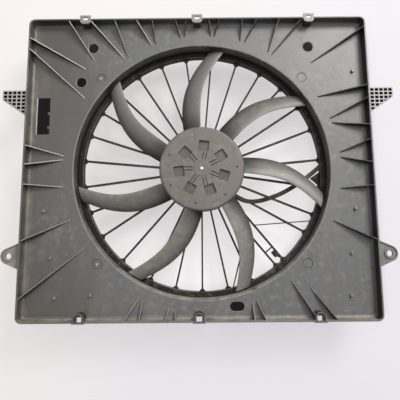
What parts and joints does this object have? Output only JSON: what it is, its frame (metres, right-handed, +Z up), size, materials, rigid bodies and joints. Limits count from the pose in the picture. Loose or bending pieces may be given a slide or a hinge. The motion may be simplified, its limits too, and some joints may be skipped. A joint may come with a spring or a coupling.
{
  "type": "radiator cooling fan",
  "caption": "Electric radiator cooling fan in a moulded plastic shroud, with swept blades on a ring-mounted brushless motor.",
  "frame": {"origin": "midway between the two ear bolt holes, on the front face of the ears that seats on the radiator", "axes": "+Z up as fitted in the car, +X to the right seen from the radiator, +Y the way the air flows, towards the engine"},
  "size_m": [0.7436, 0.104, 0.5815],
  "materials": {
    "shroud_plastic": "moulded, fine grain",
    "fan_plastic": "moulded, soft sheen",
    "cast_aluminium": "die cast",
    "bearing_steel": "ground",
    "screw_steel": "zinc plated",
    "core_steel": "pressed sheet",
    "ferrite": "sintered",
    "copper": "enamelled wire",
    "board": "lacquered",
    "can": "drawn",
    "rubber": "matte",
    "plug_plastic": "moulded"
  },
  "bodies": {
    "shroud": {"shroud_panel": "shroud_plastic", "stiffening_ribs": "shroud_plastic", "locating_pegs": "shroud_plastic", "upper_clip_tabs": "shroud_plastic", "lower_clip_tabs": "shroud_plastic", "left_ear": "shroud_plastic", "right_ear": "shroud_plastic", "left_lattice_wing": "shroud_plastic", "right_lattice_wing": "shroud_plastic", "duct_ring": "shroud_plastic", "duct_step": "shroud_plastic", "rear_ring": "shroud_plastic", "stator_struts": "shroud_plastic", "strut_braces": "shroud_plastic", "cable_clip": "shroud_plastic", "cable_guide": "shroud_plastic", "motor_ring": "shroud_plastic", "connector_bracket": "shroud_plastic", "motor_housing": "cast_aluminium", "front_bearing": "bearing_steel", "rear_bearing": "bearing_steel", "stator_core": "core_steel", "stator_windings": "copper", "circuit_board": "board", "capacitors": "can", "rear_cover": "cast_aluminium", "motor_screws": "screw_steel", "cover_screws": "screw_steel", "cable_grommet": "rubber", "motor_cable": "rubber", "cable_connector": "plug_plastic"},
    "fan": {"fan_hub": "fan_plastic", "fan_blades": "fan_plastic", "hub_insert": "bearing_steel", "shaft": "bearing_steel", "rotor_cup": "core_steel", "rotor_magnets": "ferrite"}
  },
  "joints": [
    {"name": "fan_spin", "type": "hinge", "parent": "shroud", "child": "fan", "pos_m": [0.007, 0.03, 0.163], "axis": [0, 1, 0], "continuous": true}
  ]
}
